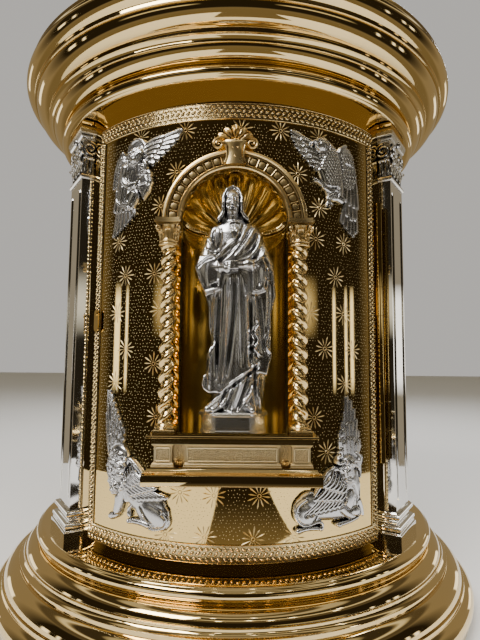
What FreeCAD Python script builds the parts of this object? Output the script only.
import FreeCAD, Part

import math
import os

os.makedirs("parts", exist_ok=True)

# Round altar tabernacle with a curved door. Millimetres, +Z up, the door faces -Y.
# The origin is the centre of the base on the table. Azimuths are degrees from the
# door's centre line, positive to the right of somebody who faces the door.

# ---- driving dimensions ------------------------------------------------------
DRUM_R = 150.0
DRUM_WALL = 2.0
BASE_H = 58.6
FOOT_R = 205.5
CORNICE_Z = 383.3
CORNICE_INSET = 7.0
FELT_T = 1.5
FLOOR_TOP = 3.5
PLATE_WALL = 2.5
FOOT_IN = 199.5
FLOOR_R = 199.1
FELT_IN = 191.0
FELT_OUT = 202.0
PLATE_BORE = 20.0
FIT_GAP = 0.05
RUN_GAP = 0.4

DOME_H = 38.5
DOME_BORE = 12.0
KNOB_H = 28.0
CROSS_H = 52.0
CROSS_HALF = 17.0
CROSS_ARM_Z = 28.0
CROSS_BAR = 6.0
CROSS_T = 5.0

DOOR_Z0 = 62.4
DOOR_Z1 = 374.0
DOOR_WALL = 3.0
DOOR_HALF = 46.3
BORDER_HALF = 45.6
BORDER_T = 1.5
BORDER_SIDE = 7.2
BORDER_END = 12.0

HINGE_AZ = 47.2
HINGE_R = 153.2
KNUCKLE_R = 2.5
HINGE_PIN_R = 0.9
HINGE_RUN = 0.05
KNUCKLES = 9
HINGE_Z0 = 118.0
HINGE_Z1 = 318.0
HINGE_SCREWS = 5
LEAF_R = 151.2
LEAF_GAP = 2.9
FRAME_LEAF_W = 3.3
DOOR_LEAF_W = 1.2
KNUCKLE_GAP = 0.15
STOP_IN = 143.5
STOP_LAP = 4.0

LOCK_AZ = -43.75
BARREL_R = 2.2
BARREL_Z = 222.0
BOLT_Z = 209.0
BOLT_HALF = 4.0
BOLT_THROW = 9.0
BOLT_BACK = 131.0
BOLT_FRONT = 137.0
CAM_REACH = 15.0
CAM_BACK = 128.6
CAM_FACE = 130.85
CASE_BACK = 126.0
CASE_FRONT = 143.0
CASE_WALL = 1.0
COVER_Z = 228.5
COVER_T = 0.8
COVER_HALF = 3.0
COVER_PIN_R = 0.75

PILASTER_AZ = (57.0, -57.0, 123.0, -123.0)
SHAFT_HALF = 17.5
SHAFT_FRONT = 158.5
PLINTH_HALF = 22.5
PLINTH_FRONT = 163.0
PILASTER_BASE_H = 21.5
CAPITAL_Z0 = 338.0
CAPITAL_Z1 = 379.0

NICHE_R = 35.2
NICHE_T = 1.2
NICHE_FLOOR_T = 1.2
NICHE_Y = -152.0
NICHE_Z0 = 146.2
SPRING_Z = 288.0
ARCH_IN = 36.2
ARCH_OUT = 49.5
ARCH_FRONT = -158.0
COLUMN_X = 44.0
COLUMN_Y = -155.0
COLUMN_R = 6.2
COLUMN_BASE_H = 6.0
COLUMN_CAPITAL_H = 18.0

PLATE_Z0 = 116.5
PLATE_T = 7.0
SLAB_T = 3.8
PLATE_HALF = 56.0
PLATE_FRONT = 172.0
SLAB_HALF = 54.5
SLAB_FRONT = 167.0
BLOCK_HALF = 52.5
BLOCK_FRONT = 163.5

PEDESTAL_H = 12.6
PEDESTAL_HALF = 21.5
STATUE_Y = -147.0
STATUE_H = 156.0

RELIEF_T = 4.5

CHAMBER_R = 140.0
CHAMBER_WALL = 1.5
CHAMBER_PLATE = 2.0
CLOTH_R = 104.0
CLOTH_T = 0.8
ROD_R = 2.5
ROD_CIRCLE = 144.0
ROD_AZ = (90.0, -90.0, 155.0, -155.0)
NUT_R = 5.0
NUT_T = 4.0
ANCHOR_R = 4.5
ANCHOR_CIRCLE = 130.0
ANCHORS = 4

V = FreeCAD.Vector
UP = V(0, 0, 1)
HERE = V(0, 0, 0)


# ---- helpers -------------------------------------------------------------------
def save(name, *solids):
    """Write one named piece, or one group of identical pieces."""
    shape = solids[0] if len(solids) == 1 else Part.makeCompound(list(solids))
    shape.exportStep("parts/" + name + ".step")


def path(points, place):
    """Closed wire from corner points; ("arc", middle, end) bends to the next corner."""
    edges = []
    last = points[0]
    for point in points[1:] + [points[0]]:
        if point[0] == "arc":
            edges.append(Part.Arc(place(last), place(point[1]), place(point[2])).toShape())
            last = point[2]
        elif point != last:
            edges.append(Part.LineSegment(place(last), place(point)).toShape())
            last = point
    return Part.Wire(edges)


def lathe(points):
    """Turn a closed (radius, height) outline about the upright axis."""
    wire = path(points, lambda p: V(p[0], 0, p[1]))
    return Part.Face(wire).revolve(HERE, UP, 360)


def tube(r_in, r_out, z0, z1):
    return Part.makeCylinder(r_out, z1 - z0, V(0, 0, z0)).cut(Part.makeCylinder(r_in, z1 - z0, V(0, 0, z0)))


def disc(r, z0, z1):
    return Part.makeCylinder(r, z1 - z0, V(0, 0, z0))


def box(x0, x1, y0, y1, z0, z1):
    return Part.makeBox(x1 - x0, y1 - y0, z1 - z0, V(x0, y0, z0))


def turned(shape, azimuth):
    """Carry a shape from the front (azimuth 0) round to an azimuth."""
    out = shape.copy()
    out.rotate(HERE, UP, azimuth)
    return out


def sector(r_in, r_out, az0, az1, z0, z1):
    """Part of a tube between two azimuths."""
    def at(r, az):
        return V(r * math.sin(math.radians(az)), -r * math.cos(math.radians(az)), z0)
    mid = (az0 + az1) / 2
    edges = [
        Part.Arc(at(r_out, az0), at(r_out, mid), at(r_out, az1)).toShape(),
        Part.LineSegment(at(r_out, az1), at(r_in, az1)).toShape(),
        Part.Arc(at(r_in, az1), at(r_in, mid), at(r_in, az0)).toShape(),
        Part.LineSegment(at(r_in, az0), at(r_out, az0)).toShape(),
    ]
    return Part.Face(Part.Wire(edges)).extrude(V(0, 0, z1 - z0))


def radial_pin(r, w0, w1, z, t=0.0):
    """Cylinder along the radius at azimuth 0, from radius w0 out to w1."""
    return Part.makeCylinder(r, w1 - w0, V(t, -w0, z), V(0, -1, 0))


def off_drum(shape):
    """Hollow a shape's back so that it sits on the outside of the drum and door."""
    return shape.cut(disc(DRUM_R + FIT_GAP, -10, CORNICE_Z + 200))


def side_degrees(width, r):
    return math.degrees(width / r)


# ---- stepped mouldings, shared by the base and, upside down, by the cornice --------
def foot_outline(d):
    """Outermost ring with its big bead; d moves the outline inwards."""
    return [
        (FOOT_IN - d, FELT_T), (203 - d, FELT_T), (203 - d, 5.0),
        ("arc", (FOOT_R - d, 12.2), (200.4 - d, 19.0)),
        (198.9 - d, 19.6), (198.9 - d, 22.6), (190 - d, 22.6), (190 - d, 19.6), (FOOT_IN - 2 - d, 17.6),
    ]


def lower_outline(d):
    """Lower quarter-round between two fillets."""
    return [
        (192.5 - d, 22.6), (197.6 - d, 22.6),
        ("arc", (194.8 - d, 29.2), (187.4 - d, 33.2)),
        (186.8 - d, 33.2), (186.8 - d, 36.4),
        ("arc", (184.7 - d, 37.4), (183.4 - d, 38.9)),
        (183.4 - d, 40.6), (178.5 - d, 40.6),
    ]


def upper_outline(d):
    """Upper quarter-round that ends in the groove under the rim."""
    return [
        (176.5 - d, 40.6), (182.4 - d, 40.6),
        ("arc", (179.4 - d, 45.4), (172.6 - d, 47.6)),
        (171.6 - d, 48.3), (166.0 - d, 48.3),
    ]


def rim_outline(d, r_in):
    """Flat plate with a round rim."""
    return [
        (r_in, BASE_H - PLATE_WALL), (165.0 - d, BASE_H - PLATE_WALL), (165.0 - d, 48.3),
        (171.6 - d, 48.3), (171.6 - d, 49.4),
        ("arc", (174.9 - d, 53.0), (172.6 - d, 57.2)),
        ("arc", (171.2 - d, 58.3), (169.4 - d, BASE_H)),
        (r_in, BASE_H),
    ]


def flipped(shape):
    """Turn a base ring upside down and lift it to the cornice."""
    out = shape.copy()
    out.rotate(HERE, V(1, 0, 0), 180)
    out.translate(V(0, 0, CORNICE_Z + BASE_H))
    return out


def rod_holes(z0, z1):
    hole = Part.makeCylinder(ROD_R + 0.2, z1 - z0, V(0, -ROD_CIRCLE, z0))
    return [turned(hole, az) for az in ROD_AZ]


def base():
    save("base_foot_ring", lathe(foot_outline(0)))
    save("base_lower_moulding", lathe(lower_outline(0)))
    save("base_upper_moulding", lathe(upper_outline(0)))
    plate = lathe(rim_outline(0, PLATE_BORE))
    for hole in rod_holes(BASE_H - PLATE_WALL, BASE_H):
        plate = plate.cut(hole)
    save("base_top_plate", plate)
    save("felt_base_ring", tube(FELT_IN, FELT_OUT, 0, FELT_T))
    floor = disc(FLOOR_R, FELT_T, FLOOR_TOP)
    for i in range(ANCHORS):
        anchor = Part.makeCylinder(ANCHOR_R, FLOOR_TOP, V(0, -ANCHOR_CIRCLE, 0))
        floor = floor.cut(turned(anchor, 45 + i * 360 / ANCHORS))
    for hole in rod_holes(0, FLOOR_TOP):
        floor = floor.cut(hole)
    save("base_floor_plate", floor)


def cornice():
    d = CORNICE_INSET
    save("cornice_crown_ring", flipped(lathe(foot_outline(d))))
    save("cornice_upper_moulding", flipped(lathe(lower_outline(d))))
    save("cornice_lower_moulding", flipped(lathe(upper_outline(d))))
    plate = flipped(lathe(rim_outline(d, PLATE_BORE)))
    for hole in rod_holes(CORNICE_Z, CORNICE_Z + PLATE_WALL):
        plate = plate.cut(hole)
    save("cornice_soffit_plate", plate)


def cap():
    """Low dome, turned knob and small cross on top of the cornice."""
    top = CORNICE_Z + BASE_H - FELT_T
    edge = 196 - CORNICE_INSET
    dome = [
        (DOME_BORE, top + DOME_H - 1.5), (DOME_BORE, top + DOME_H), ("arc", (90, top + 29), (148, top + 9)),
        (152, top + 9), (152, top + 4), (edge, top + 2), (edge, top),
        (149, top), (149, top + 6.8), ("arc", (89, top + 27.6), (DOME_BORE, top + DOME_H - 1.5)),
    ]
    save("cap_dome", lathe(dome))
    z = top + DOME_H
    seat = DOME_BORE - 0.1
    knob = [
        (0, z - 10), (6, z - 10), (6, z - 3), (seat, z - 3), (seat, z), (16, z),
        (16, z + 3), (8, z + 6), ("arc", (13.5, z + 15), (7, z + 24)), (5.5, z + KNOB_H), (0, z + KNOB_H),
    ]
    save("finial_knob", lathe(knob))
    foot = z + KNOB_H
    w, t = CROSS_BAR / 2, CROSS_T / 2
    upright = box(-w, w, -t, t, foot, foot + CROSS_H)
    arms = box(-CROSS_HALF, CROSS_HALF, -t, t, foot + CROSS_ARM_Z, foot + CROSS_ARM_Z + CROSS_BAR)
    save("finial_cross", upright.fuse(arms).removeSplitter())


# ---- cabinet --------------------------------------------------------------------
def door_window(gap):
    """The door's opening in the drum, gap wider than the door all round."""
    half = DOOR_HALF + side_degrees(gap, DRUM_R)
    return sector(DRUM_R - 20, DRUM_R + 20, -half, half, DOOR_Z0 - gap, DOOR_Z1 + gap)


def drum():
    shell = tube(DRUM_R - DRUM_WALL, DRUM_R, BASE_H, CORNICE_Z)
    save("drum_shell", shell.cut(door_window(RUN_GAP)))
    r_out = DRUM_R - DRUM_WALL - FIT_GAP
    stop = sector(STOP_IN, r_out, -52, 52, DOOR_Z0 - 3.4, DOOR_Z1 + 3.6)
    inner = DRUM_R - DOOR_WALL - 0.1
    stop = stop.cut(sector(inner, 160, -DOOR_HALF - 0.3, DOOR_HALF + 0.3, DOOR_Z0 - 0.8, DOOR_Z1 + 0.8))
    stop = stop.cut(sector(130, 160, -45, 45, DOOR_Z0 + STOP_LAP, DOOR_Z1 - STOP_LAP))
    lock_notch = sector(130, 160, -46.5, -40, BARREL_Z - 26, BARREL_Z + 14)
    save("door_frame", stop.cut(lock_notch))


def chamber():
    lining = tube(CHAMBER_R - CHAMBER_WALL, CHAMBER_R, BASE_H + CHAMBER_PLATE, CORNICE_Z - CHAMBER_PLATE)
    save("chamber_lining", lining.cut(sector(120, 150, -53, 53, BASE_H, CORNICE_Z)))
    floor_z = BASE_H + CHAMBER_PLATE
    save("chamber_floor", disc(CHAMBER_R, BASE_H, floor_z))
    save("chamber_floor_cloth", disc(CLOTH_R, floor_z, floor_z + CLOTH_T))
    save("chamber_ceiling", disc(CHAMBER_R, CORNICE_Z - CHAMBER_PLATE, CORNICE_Z))


def rods():
    z1 = CORNICE_Z + PLATE_WALL + NUT_T + 6
    rod = Part.makeCylinder(ROD_R, z1 - FELT_T, V(0, -ROD_CIRCLE, FELT_T))
    save("tie_rods", *[turned(rod, az) for az in ROD_AZ])
    nuts = []
    for seat in (FLOOR_TOP, CORNICE_Z + PLATE_WALL):
        nut = Part.makeCylinder(NUT_R, NUT_T, V(0, -ROD_CIRCLE, seat))
        nut = nut.cut(Part.makeCylinder(ROD_R + FIT_GAP, NUT_T, V(0, -ROD_CIRCLE, seat)))
        nuts += [turned(nut, az) for az in ROD_AZ]
    save("tie_nuts", *nuts)


def pilasters():
    z = BASE_H
    steps = [
        (PLINTH_HALF, PLINTH_FRONT, 7.0), (20.8, 161.4, 2.2), (20.2, 160.8, 4.2),
        (18.4, 159.2, 3.0), (20.0, 160.6, 5.1),
    ]
    foot = None
    for half, front, height in steps:
        block = box(-half, half, -front, -120, z, z + height)
        foot = block if foot is None else foot.fuse(block)
        z += height
    foot = off_drum(foot.removeSplitter())
    shaft = off_drum(box(-SHAFT_HALF, SHAFT_HALF, -SHAFT_FRONT, -120, BASE_H + PILASTER_BASE_H, CAPITAL_Z0))
    save("pilaster_bases", *[turned(foot, az) for az in PILASTER_AZ])
    save("pilaster_shafts", *[turned(shaft, az) for az in PILASTER_AZ])
    save("pilaster_capitals", *[turned(pilaster_capital(), az) for az in PILASTER_AZ])
    pad = off_drum(box(-19, 19, -160.5, -120, CAPITAL_Z1, CORNICE_Z))
    save("pilaster_top_blocks", *[turned(pad, az) for az in PILASTER_AZ])


def pilaster_capital():
    """Ring, bell with leaves, two scrolls on each face and a moulded top slab."""
    z = CAPITAL_Z0
    ring = box(-18.8, 18.8, -159.8, -120, z, z + 4.5)
    bell = box(-18.0, 18.0, -159.2, -120, z + 4.5, z + 31)
    slab = box(-20.5, 20.5, -162.2, -120, z + 31, CAPITAL_Z1)
    body = ring.fuse(bell).fuse(slab)
    for side in (-1, 1):
        scroll = Part.makeCylinder(5.5, 42, V(side * 14.5, -120, z + 24), V(0, -1, 0))
        body = body.fuse(scroll)
    body = body.fuse(Part.makeCylinder(5.2, 40, V(-20, -155.5, z + 24), V(1, 0, 0)))
    return off_drum(body.removeSplitter())


# ---- hinge ----------------------------------------------------------------------
def hinge():
    step = (HINGE_Z1 - HINGE_Z0) / KNUCKLES
    back = -(DRUM_R + 0.1)
    frame_leaf = box(LEAF_GAP, LEAF_GAP + FRAME_LEAF_W, -LEAF_R, back, HINGE_Z0, HINGE_Z1)
    door_leaf = box(-LEAF_GAP - DOOR_LEAF_W, -LEAF_GAP, -LEAF_R, back, HINGE_Z0, HINGE_Z1)
    leaves = [frame_leaf, door_leaf]
    for i in range(KNUCKLES):
        z0 = HINGE_Z0 + i * step + KNUCKLE_GAP
        z1 = HINGE_Z0 + (i + 1) * step - KNUCKLE_GAP
        barrel = Part.makeCylinder(KNUCKLE_R, z1 - z0, V(0, -HINGE_R, z0))
        if i % 2 == 0:
            web = box(0, LEAF_GAP + 0.1, -LEAF_R, back, z0, z1)
        else:
            web = box(-LEAF_GAP - 0.1, 0, -LEAF_R, back, z0, z1)
        leaves[i % 2] = leaves[i % 2].fuse(barrel).fuse(web)
    bore = Part.makeCylinder(HINGE_PIN_R + HINGE_RUN, 400, V(0, -HINGE_R, 0))
    clear = disc(DRUM_R + FIT_GAP, 0, 400)
    screw_az = side_degrees(LEAF_GAP + FRAME_LEAF_W / 2, DRUM_R)
    screws = []
    frame = leaves[0].cut(bore).cut(clear).removeSplitter()
    for i in range(HINGE_SCREWS):
        z = HINGE_Z0 + (i + 0.5) * (HINGE_Z1 - HINGE_Z0) / HINGE_SCREWS
        screw = turned(radial_pin(1.0, DRUM_R + 0.4, DRUM_R + 1.6, z), screw_az)
        frame = frame.cut(turned(radial_pin(1.05, DRUM_R, DRUM_R + 3, z), screw_az))
        screws.append(turned(screw, HINGE_AZ))
    save("hinge_frame_leaf", turned(frame, HINGE_AZ))
    save("hinge_door_leaf", turned(leaves[1].cut(bore).cut(clear).removeSplitter(), HINGE_AZ))
    save("hinge_screws", *screws)
    pin = Part.makeCylinder(HINGE_PIN_R, HINGE_Z1 - HINGE_Z0 + 2, V(0, -HINGE_R, HINGE_Z0 - 1))
    save("hinge_pin", turned(pin, HINGE_AZ))


# ---- door -----------------------------------------------------------------------
def niche_hole():
    """Upright slot with a round top, through the door for the niche."""
    r = NICHE_R + NICHE_T + FIT_GAP
    slot = box(-r, r, -170, -90, NICHE_Z0, SPRING_Z)
    return slot.fuse(Part.makeCylinder(r, 80, V(0, -170, SPRING_Z), V(0, 1, 0))).removeSplitter()


def relief_studs():
    """(azimuth, height) of the small screws that hold the four reliefs."""
    return [
        (-27, 330), (-31, 302), (28, 330), (31, 312),
        (-33, 140), (-26, 103), (33, 140), (27, 103),
    ]


def door_skin():
    panel = sector(DRUM_R - DOOR_WALL, DRUM_R, -DOOR_HALF, DOOR_HALF, DOOR_Z0, DOOR_Z1)
    panel = panel.cut(niche_hole())
    panel = panel.cut(turned(radial_pin(BARREL_R + 0.1, 130, 160, BARREL_Z), LOCK_AZ))
    for az, z in relief_studs():
        panel = panel.cut(turned(radial_pin(1.1, 140, 160, z), az))
    save("door_panel", panel)

    r0 = DRUM_R + FIT_GAP
    inner = BORDER_HALF - side_degrees(BORDER_SIDE, DRUM_R)
    border = sector(r0, DRUM_R + BORDER_T, -BORDER_HALF, BORDER_HALF, DOOR_Z0, DOOR_Z1)
    border = border.cut(sector(140, 160, -inner, inner, DOOR_Z0 + BORDER_END, DOOR_Z1 - BORDER_END))
    border = border.cut(turned(radial_pin(BARREL_R + 0.1, 130, 160, BARREL_Z), LOCK_AZ))
    pin_hole = turned(radial_pin(COVER_PIN_R + FIT_GAP, DRUM_R, DRUM_R + 3, COVER_Z), LOCK_AZ)
    save("door_border", border.cut(pin_hole))


def niche():
    r0 = NICHE_R
    r1 = NICHE_R + NICHE_T
    centre = V(0, NICHE_Y, NICHE_Z0)
    height = SPRING_Z - NICHE_Z0
    wall = Part.makeCylinder(r1, height, centre).cut(Part.makeCylinder(r0, height, centre))
    wall = wall.common(box(-60, 60, NICHE_Y, -80, NICHE_Z0, SPRING_Z))
    save("niche_wall", wall)
    floor = Part.makeCylinder(r0, NICHE_FLOOR_T, centre)
    floor = floor.common(box(-60, 60, NICHE_Y, -80, NICHE_Z0, SPRING_Z))
    floor = floor.fuse(box(-r0, r0, NICHE_Y - 9, NICHE_Y, NICHE_Z0, NICHE_Z0 + NICHE_FLOOR_T))
    save("niche_floor", floor.removeSplitter())

    top = V(0, NICHE_Y, SPRING_Z)
    dome = Part.makeSphere(r1, top).cut(Part.makeSphere(r0, top))
    dome = dome.common(box(-60, 60, NICHE_Y, -80, SPRING_Z, SPRING_Z + 60))
    save("niche_shell", dome)

    ring = Part.makeCylinder(ARCH_OUT, 30, V(0, ARCH_FRONT, SPRING_Z), V(0, 1, 0))
    ring = ring.cut(Part.makeCylinder(ARCH_IN, 30, V(0, ARCH_FRONT, SPRING_Z), V(0, 1, 0)))
    ring = ring.common(box(-60, 60, ARCH_FRONT, -100, SPRING_Z, SPRING_Z + 60))
    behind = Part.makeCylinder(r1 + FIT_GAP, 40, V(0, NICHE_Y, SPRING_Z), V(0, 1, 0))
    save("arch_moulding", off_drum(ring.cut(behind)))

    fan = [
        (-6, 324), (6, 324), (8, 331), (14.5, 338), (14.0, 345), ("arc", (0, 353.5 + 2.2), (-14.0, 345)),
        (-14.5, 338), (-8, 331),
    ]
    crest = Part.Face(path(fan, lambda p: V(p[0], ARCH_FRONT, p[1]))).extrude(V(0, -4.5, 0))
    save("keystone_crest", crest)


def columns():
    z0 = NICHE_Z0 + COLUMN_BASE_H
    z1 = SPRING_Z - COLUMN_CAPITAL_H
    niche_edge = NICHE_R + NICHE_T + 0.1
    bases = []
    capitals = []
    for side, name in ((-1, "left"), (1, "right")):
        x = side * COLUMN_X
        shaft = Part.makeCylinder(COLUMN_R, z1 - z0, V(x, COLUMN_Y, z0))
        save("column_" + name, shaft)
        foot = box(x - 7.4, x + 7.4, COLUMN_Y - 7.4, COLUMN_Y + 7.4, NICHE_Z0, NICHE_Z0 + 3)
        foot = foot.fuse(Part.makeCylinder(7.2, COLUMN_BASE_H - 3, V(x, COLUMN_Y, NICHE_Z0 + 3)))
        bases.append(off_drum(foot.removeSplitter()))
        bell = Part.makeCone(COLUMN_R, 8.6, COLUMN_CAPITAL_H - 4, V(x, COLUMN_Y, z1))
        slab = box(x - 9.0, x + 9.0, COLUMN_Y - 7.6, COLUMN_Y + 12, SPRING_Z - 4, SPRING_Z)
        inside = box(-niche_edge, niche_edge, -170, -100, 100, 400)
        capitals.append(off_drum(bell.fuse(slab).cut(inside).removeSplitter()))
    save("column_bases", *bases)
    save("column_capitals", *capitals)


def predella():
    plate_top = PLATE_Z0 + PLATE_T
    block_z0 = plate_top
    block_z1 = NICHE_Z0 - SLAB_T
    cove = [(BLOCK_FRONT, block_z0 + 3), (BLOCK_FRONT + 4.5, block_z0), (140, block_z0), (140, block_z0 + 3)]
    sill = Part.Face(path(cove, lambda p: V(-SLAB_HALF, -p[0], p[1]))).extrude(V(2 * SLAB_HALF, 0, 0))
    plate = box(-PLATE_HALF, PLATE_HALF, -PLATE_FRONT, -120, PLATE_Z0, plate_top)
    save("predella_bottom_slab", off_drum(plate.fuse(sill).removeSplitter()))
    slab = box(-SLAB_HALF, SLAB_HALF, -SLAB_FRONT, -120, block_z1, NICHE_Z0)
    save("predella_top_slab", off_drum(slab))

    body = box(-BLOCK_HALF, BLOCK_HALF, -BLOCK_FRONT, -120, block_z0 + 3, block_z1)
    for side in (-1, 1):
        x0, x1 = sorted((side * 31.5, side * 36.5))
        body = body.cut(box(x0, x1, -BLOCK_FRONT - 1, -BLOCK_FRONT + 3.5, block_z0 + 3, block_z1))
        x0, x1 = sorted((side * 38.5, side * 50.5))
        body = body.cut(box(x0, x1, -BLOCK_FRONT - 1, -BLOCK_FRONT + 0.8, block_z0 + 5.2, block_z1 - 2.2))
    body = body.cut(box(-29.5, 29.5, -BLOCK_FRONT - 1, -BLOCK_FRONT + 0.8, block_z0 + 5.2, block_z1 - 2.2))
    save("predella_block", off_drum(body))
    leaves = []
    for side in (-1, 1):
        leaf = Part.makeCone(2.3, 1.0, 6, V(side * 34, -BLOCK_FRONT + 1.1, block_z0 + 3))
        leaves.append(leaf)
    save("predella_leaves", *leaves)


def figure():
    """Pedestal and a plain standing robed figure for its mass and place."""
    low = NICHE_Z0 + NICHE_FLOOR_T
    top = low + PEDESTAL_H
    h = PEDESTAL_HALF
    plan = [(-h, -137), (-h, -147), (-h + 10, -160), (h - 10, -160), (h, -147), (h, -137)]
    foot = Part.Face(path(plan, lambda p: V(p[0], p[1], low))).extrude(V(0, 0, PEDESTAL_H))
    save("statue_pedestal", foot)

    rings = [
        (0, 17.5, 10.5), (10, 16.5, 10.5), (55, 18, 11.5), (90, 23, 12.5), (103, 25, 12.5), (118, 21.5, 10.5),
        (126, 12, 8), (130, 8, 7.5), (142, 9.5, 9.0), (152, 7.5, 7.5), (STATUE_H, 2.5, 2.5),
    ]
    wires = []
    for dz, rx, ry in rings:
        ellipse = Part.Ellipse(HERE, rx, ry) if rx > ry else Part.Circle(HERE, UP, rx)
        wire = Part.Wire([ellipse.toShape()])
        wire.translate(V(0, STATUE_Y, top + dz))
        wires.append(wire)
    save("statue_figure", Part.makeLoft(wires, True, True))


# Relief outlines as (azimuth, height) corners, simple shapes round each figure.
ANGEL = [
    (-15.2, 354), (-20.5, 339), (-23.5, 330), (-24.5, 312), (-28.5, 298), (-36.3, 286), (-37.2, 330),
    (-34.5, 346), (-31.0, 354), (-27.8, 356), (-24.5, 350),
]
EAGLE = [
    (15.2, 355), (21.0, 351), (25.5, 352), (28.6, 344), (31.5, 352), (35.0, 347), (36.6, 330),
    (36.9, 296), (34.8, 289), (30.5, 300), (25.0, 309), (22.0, 325),
]
LION = [
    (-36.0, 166), (-33.8, 158), (-30.0, 140), (-23.5, 118), (-16.2, 102), (-15.6, 84), (-35.4, 82),
    (-35.8, 110), (-37.4, 150),
]
OX = [
    (32.0, 167), (35.6, 152), (36.8, 112), (37.0, 83), (16.6, 81), (15.5, 97), (22.5, 112),
    (28.0, 130), (30.8, 152),
]


def relief(name, outline):
    """A cast figure as a plate bent round the door."""
    inner = DRUM_R + FIT_GAP
    mid_az = sum(p[0] for p in outline) / len(outline)

    def flat(p):
        return V(math.tan(math.radians(p[0] - mid_az)) * DRUM_R, -(DRUM_R - 30), p[1])
    plate = Part.Face(path(outline, flat)).extrude(V(0, -60, 0))
    shell = tube(inner, DRUM_R + RELIEF_T, 70, 370)
    plate = turned(plate.common(shell), mid_az)
    for az, z in relief_studs():
        plate = plate.cut(turned(radial_pin(1.05, 140, DRUM_R + 3, z), az))
    save(name, plate)


def reliefs():
    relief("angel_relief", ANGEL)
    relief("eagle_relief", EAGLE)
    relief("lion_relief", LION)
    relief("ox_relief", OX)
    screws = []
    inner = DRUM_R - DOOR_WALL
    for az, z in relief_studs():
        screw = radial_pin(1.0, inner - 1, DRUM_R + 2.6, z)
        head = radial_pin(2.2, inner - 2.4, inner - 0.3, z)
        screws.append(turned(screw.fuse(head).removeSplitter(), az))
    save("relief_screws", *screws)


# ---- lock -----------------------------------------------------------------------
# Each piece is built at azimuth 0 and carried round to LOCK_AZ; there -x is towards the frame.
def lock_case():
    z0 = BOLT_Z - 7
    z1 = BARREL_Z + 6
    hollow = box(-3.6, 14, -CASE_FRONT + CASE_WALL, -CASE_BACK - CASE_WALL, z0 + CASE_WALL, z1 - CASE_WALL)
    case = box(-4.5, 15, -CASE_FRONT, -CASE_BACK, z0, z1).cut(hollow)
    gap = 0.2
    mouth_z0, mouth_z1 = BOLT_Z - BOLT_HALF - gap, BOLT_Z + BOLT_HALF + gap
    case = case.cut(box(-5, 0, -BOLT_FRONT - gap, -BOLT_BACK + gap, mouth_z0, mouth_z1))
    case = case.cut(radial_pin(BARREL_R + 0.1, 140, 150, BARREL_Z))
    save("lock_case", turned(case, LOCK_AZ))


def lock_bolt():
    """Bolt, drawn back at rest, with an upright slot for the cam's pin."""
    bolt = box(-4.2, 13.0, -BOLT_FRONT, -BOLT_BACK, BOLT_Z - BOLT_HALF, BOLT_Z + BOLT_HALF)
    slot = box(BOLT_THROW - 1.6, BOLT_THROW + 1.6, -134, -130, BOLT_Z - 3.4, BOLT_Z + 5)
    save("lock_bolt", turned(bolt.cut(slot), LOCK_AZ))


def lock_barrel():
    barrel = radial_pin(BARREL_R, BOLT_BACK, DRUM_R + 0.8, BARREL_Z)
    key_slot = box(-0.5, 0.5, -(DRUM_R + 1), -(DRUM_R - 8), BARREL_Z - 1.5, BARREL_Z + 1.5)
    save("lock_barrel", turned(barrel.cut(key_slot), LOCK_AZ))


def lock_cam():
    """Arm on the barrel's tail; its pin leads the bolt. It hangs straight down when locked."""
    tip = BARREL_Z - CAM_REACH
    w = 1.7
    arm = box(-w, w, -CAM_FACE, -CAM_BACK, tip, BARREL_Z - BARREL_R)
    arm = arm.fuse(radial_pin(w, CAM_BACK, CAM_FACE, tip))
    arm = arm.fuse(radial_pin(2.3, CAM_BACK, BOLT_BACK, BARREL_Z))
    arm = arm.fuse(radial_pin(1.0, CAM_FACE, CAM_FACE + 2.75, tip)).removeSplitter()
    lean = math.degrees(math.asin(BOLT_THROW / CAM_REACH))
    arm.rotate(V(0, 0, BARREL_Z), V(0, -1, 0), lean)
    save("lock_cam", turned(arm, LOCK_AZ))


def strike():
    """Plate behind the door frame with the hole that the bolt enters."""
    keep = box(-10, -7, -150, -128.5, BOLT_Z - 2 * BOLT_HALF, BOLT_Z + 2 * BOLT_HALF)
    keep = keep.common(disc(STOP_IN - FIT_GAP, 100, 300))
    gap = 0.5
    z0, z1 = BOLT_Z - BOLT_HALF - gap, BOLT_Z + BOLT_HALF + gap
    keep = keep.cut(box(-12, 0, -BOLT_FRONT - gap, -BOLT_BACK + gap, z0, z1))
    save("strike_plate", turned(keep, LOCK_AZ))


def keyhole_cover():
    """Small swivelling plate over the keyhole, hung on a pin above it."""
    w0 = DRUM_R + BORDER_T + 0.25
    low = BARREL_Z - 4.5
    w1 = w0 + COVER_T
    cover = box(-COVER_HALF, COVER_HALF, -w1, -w0, low, COVER_Z)
    cover = cover.fuse(radial_pin(COVER_HALF, w0, w1, COVER_Z))
    cover = cover.fuse(radial_pin(COVER_HALF, w0, w1, low)).removeSplitter()
    cover = cover.cut(radial_pin(COVER_PIN_R + FIT_GAP, 140, 160, COVER_Z))
    save("keyhole_cover", turned(cover, LOCK_AZ))
    pin = radial_pin(COVER_PIN_R, DRUM_R + 0.1, w1 + 0.1, COVER_Z)
    pin = pin.fuse(radial_pin(2 * COVER_PIN_R, w1 + FIT_GAP, w1 + 0.6, COVER_Z))
    save("keyhole_cover_pin", turned(pin.removeSplitter(), LOCK_AZ))


base()
cornice()
cap()
drum()
chamber()
rods()
pilasters()
hinge()
door_skin()
niche()
columns()
predella()
figure()
reliefs()
lock_case()
lock_bolt()
lock_barrel()
lock_cam()
strike()
keyhole_cover()
